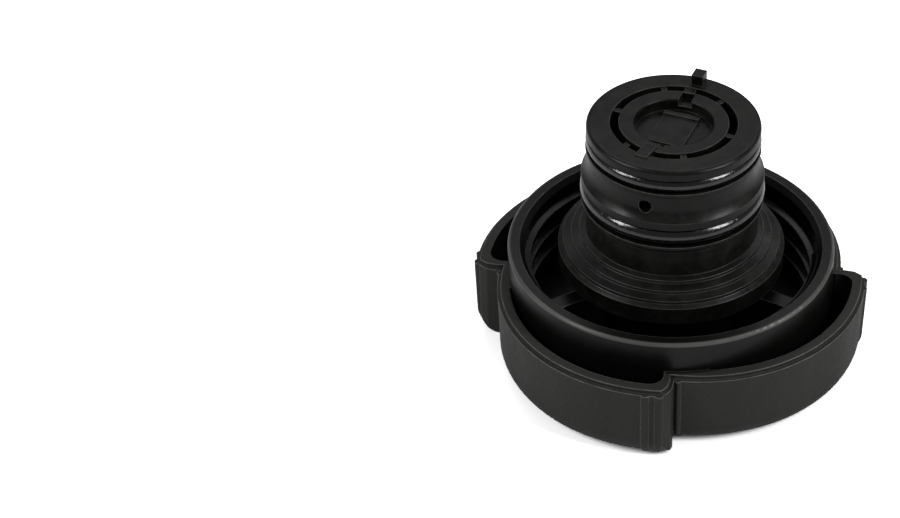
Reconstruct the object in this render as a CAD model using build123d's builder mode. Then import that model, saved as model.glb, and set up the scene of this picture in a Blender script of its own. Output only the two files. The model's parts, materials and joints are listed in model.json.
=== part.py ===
from build123d import *
import math
import os

os.makedirs("parts", exist_ok=True)

# All sizes are in millimetres. Z runs up the stem, from the flat outer face the cap lies on.

# Scroll skirt: four equal lobes, each an arc about its own offset axis
lobe_count = 4
lobe_axis_x = 0.436
lobe_axis_y = 4.61
lobe_reach = 1.27
skirt_wall = 2.3
skirt_rim_z = 15.3
skirt_ledge_z = 14.5
rim_ledge_width = 0.65
skirt_draft_deg = 1.5
face_edge_round = 4.0
disc_thickness = 3.2
lobe_span_deg = 81.0
pocket_from_deg = 14.0
pocket_end_x = 0.7
pocket_end_round = 2.6
far_r = 60.0

# Grip step: each lobe ends in a slanted face, by points out from its widest radius and along the turn
grip_end = (
    (1.12, -2.9),
    (-0.88, -0.25),
    (-1.98, 0.6),
    (-3.93, 1.0),
)
grip_end_round = 0.5
grip_inner_r = 24.0
grip_back = -8.5

# Round ribs beside the grip step, at angles about the lobe's own axis
grip_rib_degs = (83.5, 88.0)
grip_rib_r = 0.8
grip_rib_proud = 0.4
grip_bead_deg = -5.4
grip_bead_r = 0.5
grip_bead_proud = 0.45

# Collar with the internal thread
collar_top_z = 21.2
collar_wall = 3.0
thread_root_r = 26.3
thread_depth = 1.1
thread_pitch = 4.0
thread_crest_width = 1.1
thread_flank = 0.45
thread_bury = 0.3
thread_start_z = 7.26
thread_length = 12.0
mouth_r = 27.2
mouth_small_r = 25.3
mouth_depth = 2.2
collar_edge_round = 0.5

# Boss and webs
boss_r = 13.8
boss_bore_r = 11.2
boss_top_z = 17.6
web_count = 3
web_thickness = 3.0
web_top_z = 16.5
web_first_deg = 92.5

# Fits
running_gap = 0.08
seat_gap = 0.05
free_gap = 0.35

# Stem outside
stem_top_z = 45.4
upper_neck_r = 12.85
upper_groove_z = 42.6
small_lip_r = 15.4
small_lip_low_z = 42.1
land_r = 14.9
land_top_z = 41.6
land_low_z = 40.4
cove_mid_r = 15.2
cove_mid_z = 38.4
big_lip_r = 16.15
big_lip_top_z = 37.0
big_lip_low_z = 35.6
lower_neck_r = 12.9
lower_groove_z = 31.9
lower_lip_z = 31.4
wall_r = 15.4
wall_top_z = 30.5
wall_low_z = 25.3
flare = (
    (16.4, 24.9),
    (16.5, 24.4),
    (17.9, 23.8),
    (18.0, 23.3),
    (19.4, 22.7),
    (19.5, 22.2),
    (20.25, 21.7),
)
base_flange_r = 20.25
base_flange_low_z = 18.4
vent_r = 1.15
vent_z = 39.4
vent_deg = 252.0

# Stem inside
chamber_r = 11.5
chamber_floor_z = 20.0
seat_shelf_z = 40.6
seat_bore_r = 12.1
floor_thickness = 2.4
spigot_low_z = 7.5
spigot_wall = 2.5
snap_mid_z = 10.0
snap_slot = 1.0
snap_ring_thickness = 0.8
snap_ring_width = 1.55
snap_spigot_r = 10.2
snap_boss_r = 12.2
snap_gap_deg = 24.0

# End cage
cage_top_z = 47.2
cage_r = 15.28
cage_edge_round = 0.75
cage_skirt_in_r = 11.3
slot_in_r = 9.61
slot_out_r = 11.15
cup_r = 6.9
cup_depth = 2.2
cup_floor = 1.0
cup_edge_round = 0.35
bridge_width = 1.0
bridge_drop = 0.25
bridge_degs = (40.0, 100.0, 160.0, 280.0, 340.0)
wide_bridge_width = 2.0
wide_bridge_deg = 75.0
nub_deg = 220.0
nub_reach = 0.9
notch_deg = 74.0
notch_width = 2.35
notch_out_r = 9.0
notch_depth = 1.3
side_notch_deg = 255.0
side_notch_width = 1.0
side_notch_out_r = 7.6
tongue_deg = 243.0
tongue_width = 2.2
tongue_in_r = 8.2
tongue_out_r = 12.2
tongue_rise = 0.3
tab_deg = 71.0
tab_width = 2.1
tab_in_r = 12.0
tab_out_r = 14.4
tab_rise = 2.0
pad_width = 6.5
pad_length = 9.0
pad_rise = 0.5
pad_x = -0.05
pad_y = 0.2
pad_turn_deg = -19.8
pad_bar_width = 0.9
pad_bar_rise = 0.4

# Seals
upper_seal_r = 15.4
lower_seal_r = 16.35

# Slip washer
washer_rim_gap = 0.2

# Valve seat and its bead
seat_in_r = 8.8
seat_top_z = 42.0
bead_in_r = 9.4
bead_out_r = 9.8
bead_height = 0.4

# Pressure piston, its seal and spring
plate_low_z = 37.0
plate_top_z = 39.0
plate_r = 10.9
piston_skirt_wall = 0.8
piston_skirt_low_z = 33.0
guide_count = 6
guide_width = 2.0
guide_first_deg = 30.0
seal_in_r = 8.2
seal_out_r = 10.7
keeper_wall = 0.8
keeper_gap = 0.1
keeper_height = 0.9
breather_r = 2.6
spring_seat_thickness = 1.0
spring_seat_in_r = 7.0
spring_seat_out_r = 11.0
spring_mean_r = 9.0
spring_wire_r = 0.75
spring_turns = 5.0
wire_sides = 8

# Vacuum valve, its seal, spring and clip
vacuum_disc_r = 4.2
vacuum_disc_thickness = 1.4
vacuum_seal_thickness = 0.5
vacuum_seal_in_r = 2.9
vacuum_stem_r = 1.1
vacuum_stem_low_z = 28.4
wing_count = 3
wing_thickness = 0.7
wing_low_z = 33.5
vacuum_spring_mean_r = 3.3
vacuum_spring_wire_r = 0.25
vacuum_spring_turns = 6.0
clip_r = 3.8
clip_thickness = 0.8
clip_top_z = 30.0

# Derived sizes
lobe_step_deg = 360.0 / lobe_count
collar_r = thread_root_r + collar_wall
lobe_r = collar_r + lobe_reach
lobe_far_r = lobe_r + lobe_axis_y
draft_slope = math.tan(math.radians(skirt_draft_deg))
draft_loss = skirt_rim_z * draft_slope
spigot_r = boss_bore_r - running_gap
guide_r = chamber_r - running_gap
wing_r = breather_r - running_gap
seat_r = seat_bore_r - seat_gap
bead_low_z = seat_shelf_z - bead_height
spring_seat_top_z = chamber_floor_z + spring_seat_thickness
upper_section_r = (upper_seal_r - upper_neck_r) / 2
lower_section_r = (lower_seal_r - lower_neck_r) / 2
vacuum_seat_z = plate_top_z + vacuum_seal_thickness


def polar(radius, angle_deg):
    angle = math.radians(angle_deg)
    return (radius * math.cos(angle), radius * math.sin(angle))


def sector(from_deg, to_deg):
    middle = (from_deg + to_deg) / 2
    points = [(0, 0), polar(far_r, from_deg), polar(far_r, middle), polar(far_r, to_deg)]
    return make_face(Polyline(*points, close=True))


def round_block(radius, height):
    cone = Cone(radius - draft_loss, radius, height, align=(Align.CENTER, Align.CENTER, Align.MIN))
    return fillet(cone.edges().filter_by(GeomType.CIRCLE).sort_by(Axis.Z)[0], face_edge_round)


# Skirt outline: every lobe is a turned block about its own axis, kept inside its sector
lobe_spot = Pos(lobe_axis_x, lobe_axis_y, 0)
rim_block = Pos(0, 0, skirt_ledge_z) * Cylinder(
    lobe_r - rim_ledge_width,
    skirt_rim_z - skirt_ledge_z,
    align=(Align.CENTER, Align.CENTER, Align.MIN),
)
full_lobe = lobe_spot * (round_block(lobe_r, skirt_rim_z) & Box(
    2 * far_r,
    2 * far_r,
    2 * skirt_ledge_z,
))
full_lobe = full_lobe + lobe_spot * rim_block
one_lobe = full_lobe & extrude(sector(0, lobe_span_deg), skirt_rim_z)

# Grip step: the same lobe, kept inside an outline that ends in the slanted face
grip_points = [(lobe_far_r + out, along) for out, along in grip_end]
grip_corners = [
    (grip_inner_r, grip_points[-1][1]),
    (grip_inner_r, grip_back),
    (grip_points[0][0], grip_back),
]
grip_face = make_face(Polyline(*grip_corners, *grip_points, close=True))
grip_face = fillet(grip_face.vertices().sort_by(Axis.Y)[3:5], grip_end_round)
grip_low = extrude(grip_face, skirt_ledge_z)
grip_high = extrude(Pos(0, -rim_ledge_width) * grip_face, skirt_rim_z)
one_grip = full_lobe & Rot(0, 0, lobe_step_deg) * (grip_low + grip_high)


def lobe_rib(angle_deg, radius, proud):
    """A round rib that follows the lobe's side and its rounded lower edge."""
    sink = radius - proud
    top = (lobe_r - sink, skirt_ledge_z)
    bend = (lobe_r - draft_loss + draft_slope * face_edge_round - sink, face_edge_round)
    foot = (bend[0] - face_edge_round + sink, sink)
    side = Line(top, bend)
    path = side + TangentArc(bend, foot, tangent=side % 1)
    section = Plane(origin=(*top, 0), z_dir=(0, -1, 0)) * Circle(radius)
    rib = Rot(90, 0, 0) * sweep(section, path)
    above = Box(2 * far_r, 2 * far_r, skirt_ledge_z, align=(Align.CENTER, Align.CENTER, Align.MIN))
    return lobe_spot * Rot(0, 0, angle_deg) * rib & above


for rib_deg in grip_rib_degs:
    one_grip = one_grip + lobe_rib(rib_deg, grip_rib_r, grip_rib_proud)
one_grip = one_grip + lobe_rib(grip_bead_deg, grip_bead_r, grip_bead_proud)

core_block = Cylinder(
    collar_r - skirt_wall,
    skirt_ledge_z,
    align=(Align.CENTER, Align.CENTER, Align.MIN),
)
scroll = core_block + one_lobe + one_grip
for step in range(1, lobe_count):
    scroll = scroll + Rot(0, 0, step * lobe_step_deg) * (one_lobe + one_grip)

# Pocket between a lobe and the collar, which ends in a round corner behind the slanted face
pocket_face = (lobe_spot * Circle(lobe_r - skirt_wall)) & sector(pocket_from_deg, lobe_step_deg)
pocket_face = pocket_face - Rectangle(2 * pocket_end_x, 2 * far_r) - Circle(collar_r)
pocket_face = fillet(pocket_face.vertices().sort_by(Axis.Y)[-1], pocket_end_round)
snap_mouth = sector(0, snap_gap_deg)

with BuildPart() as cap_shell:
    add(scroll)
    with BuildSketch(Plane.XY.offset(disc_thickness)):
        with PolarLocations(0, lobe_count):
            add(pocket_face)
    extrude(amount=skirt_rim_z, mode=Mode.SUBTRACT)
    with BuildSketch(Plane.XY.offset(disc_thickness)):
        Circle(collar_r)
    extrude(amount=skirt_rim_z, mode=Mode.SUBTRACT)
    with BuildSketch(Plane.XZ):
        with BuildLine():
            Polyline(
                (thread_root_r, disc_thickness),
                (thread_root_r, collar_top_z),
                (collar_r - collar_edge_round, collar_top_z),
            )
            RadiusArc(
                (collar_r - collar_edge_round, collar_top_z),
                (collar_r, collar_top_z - collar_edge_round),
                collar_edge_round,
            )
            Polyline(
                (collar_r, collar_top_z - collar_edge_round),
                (collar_r, disc_thickness),
                (thread_root_r, disc_thickness),
            )
        make_face()
    revolve(axis=Axis.Z)
    with BuildLine() as thread_path:
        Helix(
            thread_pitch,
            thread_length,
            thread_root_r,
            center=(0, 0, thread_start_z),
        )
    with BuildSketch(Plane(
        origin=thread_path.line @ 0,
        x_dir=(1, 0, 0),
        z_dir=thread_path.line % 0,
    )):
        with BuildLine():
            Polyline(
                (thread_bury, -thread_crest_width / 2 - thread_flank),
                (-thread_depth, -thread_crest_width / 2),
                (-thread_depth, thread_crest_width / 2),
                (thread_bury, thread_crest_width / 2 + thread_flank),
                close=True,
            )
        make_face()
    sweep(path=thread_path.line, is_frenet=True)
    with BuildSketch(Plane.XY.offset(disc_thickness)):
        Circle(boss_r)
    extrude(amount=boss_top_z - disc_thickness)
    with BuildSketch(Plane.XY.offset(disc_thickness)):
        with PolarLocations(0, web_count, start_angle=web_first_deg):
            with Locations(((thread_root_r + boss_r) / 2, 0)):
                Rectangle(thread_root_r - boss_r + 2 * thread_bury, web_thickness)
    extrude(amount=web_top_z - disc_thickness)
    with BuildSketch(Plane.XY.offset(disc_thickness)):
        Circle(boss_bore_r)
    extrude(amount=boss_top_z, mode=Mode.SUBTRACT)
    with BuildSketch(Plane.XY.offset(snap_mid_z - snap_slot / 2)):
        Circle(snap_boss_r)
    extrude(amount=snap_slot, mode=Mode.SUBTRACT)
    with Locations((0, 0, collar_top_z - mouth_depth)):
        Cone(
            mouth_small_r,
            mouth_r,
            mouth_depth,
            align=(Align.CENTER, Align.CENTER, Align.MIN),
            mode=Mode.SUBTRACT,
        )

with BuildPart() as valve_housing:
    with BuildSketch(Plane.XZ):
        with BuildLine():
            Polyline(
                (0, chamber_floor_z),
                (chamber_r, chamber_floor_z),
                (chamber_r, seat_shelf_z),
                (seat_bore_r, seat_shelf_z),
                (seat_bore_r, stem_top_z),
                (upper_neck_r, stem_top_z),
                (upper_neck_r, upper_groove_z),
                (small_lip_r, upper_groove_z),
                (small_lip_r, small_lip_low_z),
                (land_r, land_top_z),
                (land_r, land_low_z),
            )
            ThreePointArc(
                (land_r, land_low_z),
                (cove_mid_r, cove_mid_z),
                (big_lip_r, big_lip_top_z),
            )
            Polyline(
                (big_lip_r, big_lip_top_z),
                (big_lip_r, big_lip_low_z),
                (lower_neck_r, big_lip_low_z),
                (lower_neck_r, lower_groove_z),
                (big_lip_r, lower_groove_z),
                (big_lip_r, lower_lip_z),
                (wall_r, wall_top_z),
                (wall_r, wall_low_z),
                *flare,
                (base_flange_r, base_flange_low_z),
                (spigot_r, base_flange_low_z),
                (spigot_r, snap_mid_z + snap_slot / 2),
                (snap_spigot_r, snap_mid_z + snap_slot / 2),
                (snap_spigot_r, snap_mid_z - snap_slot / 2),
                (spigot_r, snap_mid_z - snap_slot / 2),
                (spigot_r, spigot_low_z),
                (snap_spigot_r - spigot_wall + snap_slot, spigot_low_z),
                (snap_spigot_r - spigot_wall + snap_slot, chamber_floor_z - floor_thickness),
                (0, chamber_floor_z - floor_thickness),
                (0, chamber_floor_z),
            )
        make_face()
    revolve(axis=Axis.Z)
    with BuildSketch(Plane(
        origin=(0, 0, vent_z),
        z_dir=(math.cos(math.radians(vent_deg)), math.sin(math.radians(vent_deg)), 0),
    )):
        Circle(vent_r)
    extrude(amount=big_lip_r, mode=Mode.SUBTRACT)

with BuildPart() as valve_cage:
    with BuildSketch(Plane.XY.offset(stem_top_z)):
        Circle(cage_r)
        Circle(slot_out_r, mode=Mode.SUBTRACT)
    extrude(amount=cage_top_z - stem_top_z)
    fillet(
        valve_cage.faces().sort_by(Axis.Z)[-1].edges().sort_by(SortBy.RADIUS)[-1],
        cage_edge_round,
    )
    with BuildSketch(Plane.XY.offset(seat_top_z)):
        Circle(seat_r)
        Circle(cage_skirt_in_r, mode=Mode.SUBTRACT)
    extrude(amount=stem_top_z - seat_top_z)
    with BuildSketch(Plane.XY.offset(cage_top_z - cup_depth - cup_floor)):
        Circle(slot_in_r)
    extrude(amount=cup_depth + cup_floor)
    with BuildSketch(Plane.XY.offset(cage_top_z - cup_depth)):
        Circle(cup_r)
    extrude(amount=cup_depth, mode=Mode.SUBTRACT)
    fillet(
        valve_cage.edges().filter_by(GeomType.CIRCLE).group_by(Axis.Z)[-1].sort_by(SortBy.RADIUS)[0],
        cup_edge_round,
    )
    with BuildSketch(Plane.XY.offset(stem_top_z)):
        for bridge_deg in bridge_degs:
            with PolarLocations((slot_in_r + slot_out_r) / 2, 1, start_angle=bridge_deg):
                Rectangle(slot_out_r - slot_in_r + 2 * bridge_drop, bridge_width)
        with PolarLocations((slot_in_r + slot_out_r) / 2, 1, start_angle=wide_bridge_deg):
            Rectangle(slot_out_r - slot_in_r + 2 * bridge_drop, wide_bridge_width)
        with PolarLocations(slot_out_r - nub_reach / 2, 1, start_angle=nub_deg):
            Rectangle(nub_reach + bridge_drop, bridge_width)
    extrude(amount=cage_top_z - stem_top_z - bridge_drop)
    with BuildSketch(Plane.XY.offset(cage_top_z - notch_depth)):
        with PolarLocations((cup_r + notch_out_r) / 2, 1, start_angle=notch_deg):
            Rectangle(notch_out_r - cup_r + 2 * bridge_drop, notch_width)
        with PolarLocations((cup_r + side_notch_out_r) / 2, 1, start_angle=side_notch_deg):
            Rectangle(side_notch_out_r - cup_r + 2 * bridge_drop, side_notch_width)
    extrude(amount=notch_depth, mode=Mode.SUBTRACT)
    with BuildSketch(Plane.XY.offset(stem_top_z)):
        with PolarLocations((tongue_in_r + tongue_out_r) / 2, 1, start_angle=tongue_deg):
            Rectangle(tongue_out_r - tongue_in_r, tongue_width)
    extrude(amount=cage_top_z - stem_top_z + tongue_rise)
    with BuildSketch(Plane.XY.offset(stem_top_z)):
        with PolarLocations((tab_in_r + tab_out_r) / 2, 1, start_angle=tab_deg):
            Rectangle(tab_out_r - tab_in_r, tab_width)
    extrude(amount=cage_top_z - stem_top_z + tab_rise)
    with BuildSketch(Plane.XY.offset(cage_top_z - cup_depth)):
        with Locations(Location((pad_x, pad_y, 0), (0, 0, pad_turn_deg))):
            Rectangle(pad_width, pad_length)
    extrude(amount=pad_rise)
    with BuildSketch(Plane.XY.offset(cage_top_z - cup_depth)):
        with Locations(Location((pad_x, pad_y, 0), (0, 0, pad_turn_deg))):
            with Locations((0, (pad_length - pad_bar_width) / 2)):
                Rectangle(pad_width, pad_bar_width)
    extrude(amount=pad_rise + pad_bar_rise)

with BuildPart() as upper_o_ring:
    with Locations((0, 0, (upper_groove_z + stem_top_z) / 2)):
        Torus(upper_seal_r - upper_section_r, upper_section_r - seat_gap / 2)

with BuildPart() as lower_o_ring:
    with Locations((0, 0, (lower_groove_z + big_lip_low_z) / 2)):
        Torus(lower_seal_r - lower_section_r, lower_section_r - seat_gap / 2)

with BuildPart() as slip_washer:
    with BuildSketch(Plane.XY.offset(boss_top_z)):
        Circle(boss_r - washer_rim_gap)
        Circle(spigot_r + free_gap, mode=Mode.SUBTRACT)
    extrude(amount=base_flange_low_z - boss_top_z)

with BuildPart() as retaining_ring:
    with BuildSketch(Plane.XY.offset(snap_mid_z - snap_ring_thickness / 2)):
        Circle(snap_boss_r - running_gap)
        Circle(snap_boss_r - running_gap - snap_ring_width, mode=Mode.SUBTRACT)
        add(snap_mouth, mode=Mode.SUBTRACT)
    extrude(amount=snap_ring_thickness)

with BuildPart() as valve_seat:
    with BuildSketch(Plane.XY.offset(seat_shelf_z)):
        Circle(seat_r)
        Circle(seat_in_r, mode=Mode.SUBTRACT)
    extrude(amount=seat_top_z - seat_shelf_z)
    with BuildSketch(Plane.XY.offset(bead_low_z)):
        Circle(bead_out_r)
        Circle(bead_in_r, mode=Mode.SUBTRACT)
    extrude(amount=bead_height)

with BuildPart() as pressure_piston:
    with BuildSketch(Plane.XY.offset(piston_skirt_low_z)):
        Circle(plate_r)
        with PolarLocations(0, guide_count // 2, start_angle=guide_first_deg):
            Rectangle(2 * guide_r, guide_width)
    extrude(amount=plate_top_z - piston_skirt_low_z)
    with BuildSketch(Plane.XY.offset(piston_skirt_low_z)):
        Circle(guide_r)
    extrude(amount=plate_top_z - piston_skirt_low_z, mode=Mode.INTERSECT)
    with BuildSketch(Plane.XY.offset(piston_skirt_low_z)):
        Circle(plate_r - piston_skirt_wall)
    extrude(amount=plate_low_z - piston_skirt_low_z, mode=Mode.SUBTRACT)
    with BuildSketch(Plane.XY.offset(plate_top_z)):
        Circle(seal_in_r - keeper_gap)
        Circle(seal_in_r - keeper_gap - keeper_wall, mode=Mode.SUBTRACT)
    extrude(amount=keeper_height)
    with BuildSketch(Plane.XY.offset(plate_low_z)):
        Circle(breather_r)
    extrude(amount=plate_top_z - plate_low_z, mode=Mode.SUBTRACT)

with BuildPart() as pressure_seal:
    with BuildSketch(Plane.XY.offset(plate_top_z)):
        Circle(seal_out_r)
        Circle(seal_in_r, mode=Mode.SUBTRACT)
    extrude(amount=bead_low_z - plate_top_z)

with BuildPart() as pressure_spring:
    with BuildLine() as spring_path:
        Helix(
            (plate_low_z - spring_seat_top_z) / spring_turns,
            plate_low_z - spring_seat_top_z,
            spring_mean_r,
            center=(0, 0, spring_seat_top_z),
        )
    with BuildSketch(Plane(origin=spring_path.line @ 0, z_dir=spring_path.line % 0)):
        RegularPolygon(spring_wire_r, wire_sides)
    sweep(path=spring_path.line, is_frenet=True)
    with BuildSketch(Plane.XY.offset(spring_seat_top_z)):
        Circle(chamber_r)
    extrude(amount=plate_low_z - spring_seat_top_z, mode=Mode.INTERSECT)

with BuildPart() as spring_seat:
    with BuildSketch(Plane.XY.offset(chamber_floor_z)):
        Circle(spring_seat_out_r)
        Circle(spring_seat_in_r, mode=Mode.SUBTRACT)
    extrude(amount=spring_seat_thickness)

with BuildPart() as vacuum_valve:
    with BuildSketch(Plane.XY.offset(vacuum_seat_z)):
        Circle(vacuum_disc_r)
    extrude(amount=vacuum_disc_thickness)
    with BuildSketch(Plane.XY.offset(vacuum_stem_low_z)):
        Circle(vacuum_stem_r)
    extrude(amount=vacuum_seat_z - vacuum_stem_low_z)
    with BuildSketch(Plane.XY.offset(wing_low_z)):
        with PolarLocations(wing_r / 2, wing_count):
            Rectangle(wing_r, wing_thickness)
        Circle(wing_r, mode=Mode.INTERSECT)
    extrude(amount=vacuum_seat_z - wing_low_z)

with BuildPart() as vacuum_seal:
    with BuildSketch(Plane.XY.offset(plate_top_z)):
        Circle(vacuum_disc_r)
        Circle(vacuum_seal_in_r, mode=Mode.SUBTRACT)
    extrude(amount=vacuum_seal_thickness)

with BuildPart() as vacuum_spring:
    with BuildLine() as light_path:
        Helix(
            (plate_low_z - clip_top_z) / vacuum_spring_turns,
            plate_low_z - clip_top_z,
            vacuum_spring_mean_r,
            center=(0, 0, clip_top_z),
        )
    with BuildSketch(Plane(origin=light_path.line @ 0, z_dir=light_path.line % 0)):
        RegularPolygon(vacuum_spring_wire_r, wire_sides)
    sweep(path=light_path.line, is_frenet=True)
    with BuildSketch(Plane.XY.offset(clip_top_z)):
        Circle(clip_r)
    extrude(amount=plate_low_z - clip_top_z, mode=Mode.INTERSECT)

with BuildPart() as vacuum_retainer:
    with BuildSketch(Plane.XY.offset(clip_top_z - clip_thickness)):
        Circle(clip_r)
        Circle(vacuum_stem_r, mode=Mode.SUBTRACT)
    extrude(amount=clip_thickness)

pieces = {
    "cap_shell": cap_shell,
    "valve_housing": valve_housing,
    "valve_cage": valve_cage,
    "upper_o_ring": upper_o_ring,
    "lower_o_ring": lower_o_ring,
    "slip_washer": slip_washer,
    "retaining_ring": retaining_ring,
    "valve_seat": valve_seat,
    "pressure_piston": pressure_piston,
    "pressure_seal": pressure_seal,
    "pressure_spring": pressure_spring,
    "spring_seat": spring_seat,
    "vacuum_valve": vacuum_valve,
    "vacuum_seal": vacuum_seal,
    "vacuum_spring": vacuum_spring,
    "vacuum_retainer": vacuum_retainer,
}
for piece_name, piece in pieces.items():
    piece.part.label = piece_name
    export_step(piece.part, "parts/" + piece_name + ".step")
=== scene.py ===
import json
import math

import bpy
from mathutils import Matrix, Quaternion, Vector


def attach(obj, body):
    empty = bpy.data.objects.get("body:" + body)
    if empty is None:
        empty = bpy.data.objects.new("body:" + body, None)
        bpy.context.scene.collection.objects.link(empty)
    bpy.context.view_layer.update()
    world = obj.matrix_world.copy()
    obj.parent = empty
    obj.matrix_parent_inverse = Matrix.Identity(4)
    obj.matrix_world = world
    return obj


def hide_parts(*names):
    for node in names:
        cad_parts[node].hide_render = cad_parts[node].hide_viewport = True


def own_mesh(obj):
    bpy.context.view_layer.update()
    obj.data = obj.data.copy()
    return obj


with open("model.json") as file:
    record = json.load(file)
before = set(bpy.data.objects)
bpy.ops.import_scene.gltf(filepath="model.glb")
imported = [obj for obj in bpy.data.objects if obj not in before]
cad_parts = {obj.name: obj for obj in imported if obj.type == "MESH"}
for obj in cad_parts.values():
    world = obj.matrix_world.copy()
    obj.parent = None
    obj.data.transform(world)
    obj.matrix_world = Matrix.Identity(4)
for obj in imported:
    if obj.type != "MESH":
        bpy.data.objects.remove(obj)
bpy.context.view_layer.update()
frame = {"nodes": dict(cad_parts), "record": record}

scene = bpy.context.scene
scene.view_settings.view_transform = "Standard"

# The camera that was fitted to the photo. Lengths are in metres and angles in degrees, apart from the
# lens and the sensor, which are in millimetres, and the shift, which is a share of the sensor's width
camera_elevation = 37.6
camera_roll = 1.3
camera_distance = 0.480
camera_aim = (0, 0, 0.01717)
camera_lens = 106.56
camera_sensor = 36.0
camera_shift_x = -0.2453
camera_clip = (0.05, 20.0)

# Lamps: name, azimuth, elevation, distance, width, height, watts
lamps = [
    ("left_box", -69, 38, 0.9, 0.22, 0.50, 4.4),
    ("right_box", 66, 38, 0.9, 0.22, 0.50, 5.4),
    ("top_box", 180, 54, 1.0, 0.8, 0.4, 2.2),
    ("left_rim", -142, 34, 0.9, 0.12, 0.24, 0.15),
    ("right_rim", 142, 34, 0.9, 0.12, 0.24, 0.3),
]
lamp_target = (0, 0, 0.03)
white = (1.0, 1.0, 1.0, 1.0)
world_light = 0.18
world_seen = 1.0
floor_gain = 2.5
floor_size = 12.0
floor_drop = 0.00005

# Places on the shell: where its outer grain gives way to smoother moulding, and the painted highlight line
# on the collar's rounded rim
collar_side = (0.0302, 0.0294)
disc_top = (0.0029, 0.0034)
rim_highlight_radius = (0.0286, 0.0290)
rim_highlight_height = (0.0205, 0.0208)

# Softened edges, and the width of the edges that get a painted highlight
shell_edge_round, shell_highlight_width = 0.00035, 0.00026
stem_edge_round, stem_highlight_width = 0.00025, 0.00022
seal_edge_round = 0.00010
small_edge_round = 0.00012

# Depth of the fine relief on each material
shell_grain_depth, shell_streak_depth = 0.00006, 0.00010
stem_grain_depth, stem_haze_depth, stem_line_depth = 0.00003, 0.00010, 0.00006
seal_film_depth = 0.00012
small_grain_depth = 0.00003
floor_grain_depth = 0.00004

shell_dark, shell_light = (0.0100, 0.0104, 0.0094), (0.0160, 0.0165, 0.0150)
shell_pit = (0.027, 0.027, 0.025)
shell_smooth_dark, shell_smooth_light = (0.0016, 0.0016, 0.0014), (0.0036, 0.0036, 0.0032)
shell_dust = (0.16, 0.155, 0.145)
# light grey of the painted highlight on the shell's outer edges and the collar's rim
shell_highlight = (0.220, 0.220, 0.206)
stem_dark, stem_light = (0.0018, 0.0018, 0.0016), (0.0040, 0.0040, 0.0035)
stem_haze = (0.0085, 0.0084, 0.0074)
stem_scuff = (0.022, 0.022, 0.020)
# light grey of the painted highlight on the stem's outer edges
stem_highlight = (0.170, 0.170, 0.158)
seal_dark, seal_light = (0.002, 0.002, 0.0022), (0.005, 0.005, 0.0048)
floor_dark, floor_light = (0.80, 0.80, 0.80), (0.82, 0.82, 0.82)


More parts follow.
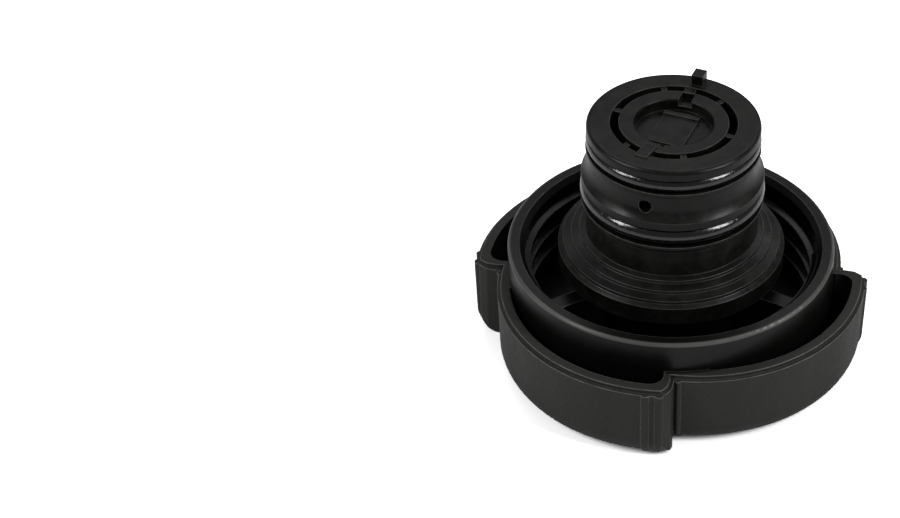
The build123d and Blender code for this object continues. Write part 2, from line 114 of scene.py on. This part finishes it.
class Surface:
    """A node material, with its textures placed in the object's own metres."""

    def __init__(self, name):
        self.mat = bpy.data.materials.new(name)
        self.mat.use_nodes = True
        self.tree = self.mat.node_tree
        self.tree.nodes.clear()
        self.out = self.node("OutputMaterial")
        self.bsdf = self.node("BsdfPrincipled")
        self.link(self.bsdf.outputs["BSDF"], self.out.inputs["Surface"])
        self.place = self.node("TexCoord").outputs["Object"]
        split = self.node("SeparateXYZ")
        self.link(self.place, split.inputs[0])
        self.x, self.y, self.z = split.outputs
        self.radius = self.math("SQRT", self.math("ADD", self.math("MULTIPLY", self.x, self.x),
                                                  self.math("MULTIPLY", self.y, self.y)))

    def node(self, kind):
        return self.tree.nodes.new("ShaderNode" + kind)

    def link(self, a, b):
        self.tree.links.new(a, b)

    def put(self, value, socket):
        if isinstance(value, bpy.types.NodeSocket):
            self.link(value, socket)
        else:
            socket.default_value = value

    def math(self, op, a, b=0.0):
        n = self.node("Math")
        n.operation = op
        self.put(a, n.inputs[0])
        self.put(b, n.inputs[1])
        return n.outputs[0]

    def span(self, value, lo, hi, to_lo=0.0, to_hi=1.0, smooth=False):
        n = self.node("MapRange")
        n.interpolation_type = "SMOOTHSTEP" if smooth else "LINEAR"
        self.put(value, n.inputs["Value"])
        for key, v in (("From Min", lo), ("From Max", hi), ("To Min", to_lo), ("To Max", to_hi)):
            self.put(v, n.inputs[key])
        return n.outputs[0]

    def noise(self, scale, detail=3.0, rough=0.55, stretch=None, warp=0.0):
        n = self.node("TexNoise")
        place = self.place
        if stretch:
            m = self.node("Mapping")
            m.inputs["Scale"].default_value = stretch
            self.link(place, m.inputs["Vector"])
            place = m.outputs[0]
        self.link(place, n.inputs["Vector"])
        for key, v in (("Scale", scale), ("Detail", detail), ("Roughness", rough), ("Distortion", warp)):
            n.inputs[key].default_value = v
        return n.outputs["Fac"]

    def cells(self, scale):
        n = self.node("TexVoronoi")
        self.link(self.place, n.inputs["Vector"])
        n.inputs["Scale"].default_value = scale
        return n.outputs["Distance"]

    def mix(self, fac, a, b):
        """Mixes two colours, each a socket or a triple."""
        n = self.node("Mix")
        n.data_type = "RGBA"
        self.put(fac, n.inputs["Factor"])
        for v, key in ((a, 6), (b, 7)):
            self.put((*v, 1.0) if isinstance(v, tuple) else v, n.inputs[key])
        return n.outputs[2]

    def blend(self, fac, a, b):
        """Mixes two plain values."""
        n = self.node("Mix")
        n.data_type = "FLOAT"
        self.put(fac, n.inputs[0])
        self.put(a, n.inputs[2])
        self.put(b, n.inputs[3])
        return n.outputs[0]

    def round_edges(self, radius):
        n = self.node("Bevel")
        n.samples = 6
        n.inputs["Radius"].default_value = radius
        return n.outputs[0]

    def edge_highlight_mask(self, radius, patches):
        """Painted highlight mask: 1 on outer edges, which get a painted highlight broken up by patches,
        and 0 on open faces and in corners.
        """
        n = self.node("VectorMath")
        n.operation = "DOT_PRODUCT"
        self.link(self.round_edges(radius), n.inputs[0])
        self.link(self.node("NewGeometry").outputs["Normal"], n.inputs[1])
        turned = self.span(n.outputs["Value"], 0.985, 0.86)
        shade = self.node("AmbientOcclusion")
        shade.samples = 4
        shade.inputs["Distance"].default_value = 2.5 * radius
        open_side = self.span(shade.outputs["AO"], 0.62, 0.90)
        highlight_breakup = self.span(self.noise(patches), 0.30, 0.55, 0.45, 1.0)
        return self.math("MULTIPLY", self.math("MULTIPLY", turned, open_side), highlight_breakup)

    def relief(self, height, depth, strength, normal=None):
        n = self.node("Bump")
        n.inputs["Distance"].default_value = depth
        self.put(strength, n.inputs["Strength"])
        self.link(height, n.inputs["Height"])
        if normal is not None:
            self.link(normal, n.inputs["Normal"])
        return n.outputs[0]

    def finish(self, colour, rough, normal, spec=0.5, coat=0.0, coat_rough=0.1, metal=0.0):
        b = self.bsdf.inputs
        self.put(colour, b["Base Color"])
        self.put(rough, b["Roughness"])
        self.put(spec, b["Specular IOR Level"])
        self.put(metal, b["Metallic"])
        self.put(coat, b["Coat Weight"])
        self.put(coat_rough, b["Coat Roughness"])
        self.link(normal, b["Normal"])
        return self.mat


def shell_plastic():
    s = Surface("shell_plastic")
    # sparked grain outside the collar, smoother moulding on and inside it
    inside = s.span(s.radius, *collar_side, smooth=True)
    smooth = s.math("MULTIPLY", inside, s.span(s.z, *disc_top))
    # painted highlight mask for the shell's outer edges
    edge_highlight = s.edge_highlight_mask(shell_highlight_width, patches=420.0)
    # the collar's rounded rim is too soft an edge for that: its painted highlight line is placed by radius
    # and height
    rim_highlight = s.math("MULTIPLY", s.span(s.radius, *rim_highlight_radius, smooth=True),
                 s.span(s.z, *rim_highlight_height, smooth=True))
    rim_highlight = s.math("MULTIPLY", rim_highlight, s.span(s.noise(90.0, detail=2.0), 0.30, 0.70, 0.30, 0.52))
    edge_highlight = s.math("MAXIMUM", edge_highlight, rim_highlight)

    grain = s.noise(2600.0, detail=4.0, rough=0.65)
    pits = s.cells(3200.0)
    sweep = s.noise(60.0)
    streak = s.noise(190.0, stretch=(1.0, 1.0, 0.12))
    specks = s.span(s.noise(1500.0, detail=2.0, rough=0.8), 0.72, 0.78)
    dust = s.math("MULTIPLY", specks, s.span(s.noise(90.0, detail=2.0), 0.5, 0.66))

    outer = s.mix(sweep, shell_dark, shell_light)
    outer = s.mix(s.math("MULTIPLY", s.span(pits, 0.10, 0.42), 0.40), outer, shell_pit)
    tone = s.mix(smooth, outer, s.mix(sweep, shell_smooth_dark, shell_smooth_light))
    tone = s.mix(s.math("MULTIPLY", dust, s.blend(smooth, 0.35, 0.10)), tone, shell_dust)
    # painted highlight: outer edges and the collar's rim are mixed towards a light grey
    tone = s.mix(s.math("MULTIPLY", edge_highlight, s.blend(smooth, 0.88, 0.74)), tone, shell_highlight)

    rough_out = s.math("ADD", s.span(grain, 0.3, 0.7, 0.50, 0.66), s.span(streak, 0.35, 0.65, -0.04, 0.04))
    rough_in = s.math("ADD", s.span(sweep, 0.3, 0.7, 0.27, 0.36), s.span(streak, 0.35, 0.65, -0.03, 0.03))
    rough = s.blend(smooth, rough_out, rough_in)
    rough = s.blend(s.math("MULTIPLY", edge_highlight, 0.7), rough, 0.26)

    height = s.math("ADD", s.math("MULTIPLY", grain, 0.7), s.math("MULTIPLY", pits, 0.5))
    normal = s.relief(height, shell_grain_depth, s.blend(smooth, 0.55, 0.07),
                      s.round_edges(shell_edge_round))
    normal = s.relief(streak, shell_streak_depth, 0.10, normal)
    return s.finish(tone, rough, normal, spec=0.23)


def stem_plastic():
    s = Surface("stem_plastic")
    edge_highlight = s.edge_highlight_mask(stem_highlight_width, patches=500.0)
    sweep = s.noise(80.0)
    haze = s.noise(300.0, detail=5.0, rough=0.65, warp=0.5)
    fine = s.noise(2200.0, rough=0.6)
    lines = s.noise(420.0, detail=4.0, stretch=(0.06, 0.06, 3.0))
    scuff = s.span(s.noise(330.0, detail=4.0, rough=0.7, stretch=(1.0, 1.0, 4.0), warp=0.6), 0.60, 0.74)

    tone = s.mix(sweep, stem_dark, stem_light)
    tone = s.mix(s.span(haze, 0.45, 0.72), tone, stem_haze)
    tone = s.mix(s.math("MULTIPLY", scuff, 0.40), tone, stem_scuff)
    # painted highlight: the stem's outer edges are mixed towards a light grey
    tone = s.mix(s.math("MULTIPLY", edge_highlight, 0.60), tone, stem_highlight)

    rough = s.math("ADD", s.span(sweep, 0.3, 0.7, 0.30, 0.39), s.math("MULTIPLY", scuff, 0.12))
    rough = s.math("ADD", rough, s.span(lines, 0.35, 0.65, -0.04, 0.04))
    rough = s.math("ADD", rough, s.span(haze, 0.35, 0.70, -0.05, 0.07))

    normal = s.relief(fine, stem_grain_depth, 0.20, s.round_edges(stem_edge_round))
    normal = s.relief(haze, stem_haze_depth, 0.12, normal)
    normal = s.relief(lines, stem_line_depth, 0.34, normal)
    return s.finish(tone, rough, normal, spec=0.20)


def seal_rubber():
    s = Surface("seal_rubber")
    sweep = s.noise(120.0)
    film = s.noise(900.0, detail=4.0, rough=0.6, warp=0.8)
    tone = s.mix(sweep, seal_dark, seal_light)
    rough = s.math("ADD", s.span(film, 0.35, 0.7, 0.07, 0.20), s.span(sweep, 0.3, 0.7, 0.0, 0.05))
    normal = s.relief(film, seal_film_depth, 0.50, s.round_edges(seal_edge_round))
    return s.finish(tone, rough, normal, coat=0.3, coat_rough=0.06)


def plain(name, dark, light, rough_lo, rough_hi, metal=0.0, stretch=None):
    s = Surface(name)
    fine = s.noise(1900.0, rough=0.6, stretch=stretch)
    tone = s.mix(s.noise(150.0), dark, light)
    tone = s.mix(s.span(fine, 0.45, 0.75, 0.0, 0.3), tone, tuple(0.6 * c for c in dark))
    rough = s.span(fine, 0.3, 0.7, rough_lo, rough_hi)
    normal = s.relief(fine, small_grain_depth, 0.2, s.round_edges(small_edge_round))
    return s.finish(tone, rough, normal, metal=metal)


finishes = {
    "shell_plastic": shell_plastic(),
    "stem_plastic": stem_plastic(),
    "seal_rubber": seal_rubber(),
    "washer_plastic": plain("washer_plastic", (0.50, 0.49, 0.45), (0.60, 0.59, 0.55), 0.38, 0.52),
    "valve_plastic": plain("valve_plastic", (0.045, 0.045, 0.048), (0.060, 0.060, 0.062), 0.34, 0.48),
    "spring_steel": plain("spring_steel", (0.48, 0.48, 0.47), (0.60, 0.60, 0.58), 0.22, 0.36,
                          metal=1.0, stretch=(1.0, 1.0, 0.15)),
}
slots = {e["node"]: e["material_slot"] for e in frame["record"]["subparts"]}
for node, obj in frame["nodes"].items():
    obj.data.materials.clear()
    obj.data.materials.append(finishes[slots[node]])

# Springs: a copy of each CAD coil is attached to the body that holds it, in place of the hidden CAD part
behaviour = frame["record"]["behaviour"]
for joint in behaviour["joints"]:
    for spring in joint.get("deforming_nodes", []):
        node = spring["node"]
        coil = bpy.data.objects.new(f"{node}_coil", frame["nodes"][node].data.copy())
        scene.collection.objects.link(coil)
        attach(coil, next(body for body, held in behaviour["bodies"].items() if node in held))
        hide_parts(node)
        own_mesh(coil)


def floor_sheet():
    """A plain pale sheet, seen brighter than it lights, as in an overexposed studio sweep."""
    s = Surface("floor")
    seen = s.node("LightPath").outputs["Is Camera Ray"]
    shine = s.node("VectorMath")
    shine.operation = "SCALE"
    s.link(s.mix(s.noise(14.0), floor_dark, floor_light), shine.inputs[0])
    s.link(s.span(seen, 0.0, 1.0, 1.0, floor_gain), shine.inputs["Scale"])
    diffuse = s.node("BsdfDiffuse")
    s.link(shine.outputs[0], diffuse.inputs["Color"])
    s.link(s.relief(s.noise(700.0, detail=2.0), floor_grain_depth, 0.05), diffuse.inputs["Normal"])
    s.link(diffuse.outputs[0], s.out.inputs["Surface"])
    bpy.ops.mesh.primitive_plane_add(size=floor_size, location=(0, 0, -floor_drop))
    sheet = bpy.context.object
    sheet.name = "floor"
    sheet.data.materials.append(s.mat)


def softbox(name, azimuth, elevation, distance, width, height, watts):
    """Azimuth 0 is the viewer's side; positive is to the viewer's right."""
    data = bpy.data.lights.new(name, "AREA")
    data.shape = "RECTANGLE"
    data.size = width
    data.size_y = height
    data.energy = watts
    obj = bpy.data.objects.new(name, data)
    scene.collection.objects.link(obj)
    a, e = math.radians(azimuth), math.radians(elevation)
    out = Vector((math.sin(a) * math.cos(e), -math.cos(a) * math.cos(e), math.sin(e)))
    obj.location = Vector(lamp_target) + out * distance
    obj.rotation_euler = out.to_track_quat("Z", "Y").to_euler()


def studio_world():
    """White to the camera, softer as light."""
    world = bpy.data.worlds.new("studio")
    scene.world = world
    world.use_nodes = True
    nodes, links = world.node_tree.nodes, world.node_tree.links
    nodes.clear()
    out = nodes.new("ShaderNodeOutputWorld")
    mix = nodes.new("ShaderNodeMixShader")
    links.new(nodes.new("ShaderNodeLightPath").outputs["Is Camera Ray"], mix.inputs["Fac"])
    for strength, socket in ((world_light, 1), (world_seen, 2)):
        background = nodes.new("ShaderNodeBackground")
        background.inputs["Color"].default_value = white
        background.inputs["Strength"].default_value = strength
        links.new(background.outputs[0], mix.inputs[socket])
    links.new(mix.outputs[0], out.inputs["Surface"])


def photo_camera():
    """The camera at the photo's angle."""
    elevation = math.radians(camera_elevation)
    away = Vector((0, -math.cos(elevation), math.sin(elevation)))
    data = bpy.data.cameras.new("camera")
    data.sensor_width = camera_sensor
    data.lens = camera_lens
    data.shift_x = camera_shift_x
    data.clip_start, data.clip_end = camera_clip
    cam = bpy.data.objects.new("camera", data)
    scene.collection.objects.link(cam)
    cam.rotation_mode = "QUATERNION"
    cam.location = Vector(camera_aim) + away * camera_distance
    roll = Quaternion((0, 0, 1), math.radians(camera_roll))
    cam.rotation_quaternion = away.to_track_quat("Z", "Y") @ roll
    scene.camera = cam


floor_sheet()
for lamp in lamps:
    softbox(*lamp)
studio_world()
photo_camera()
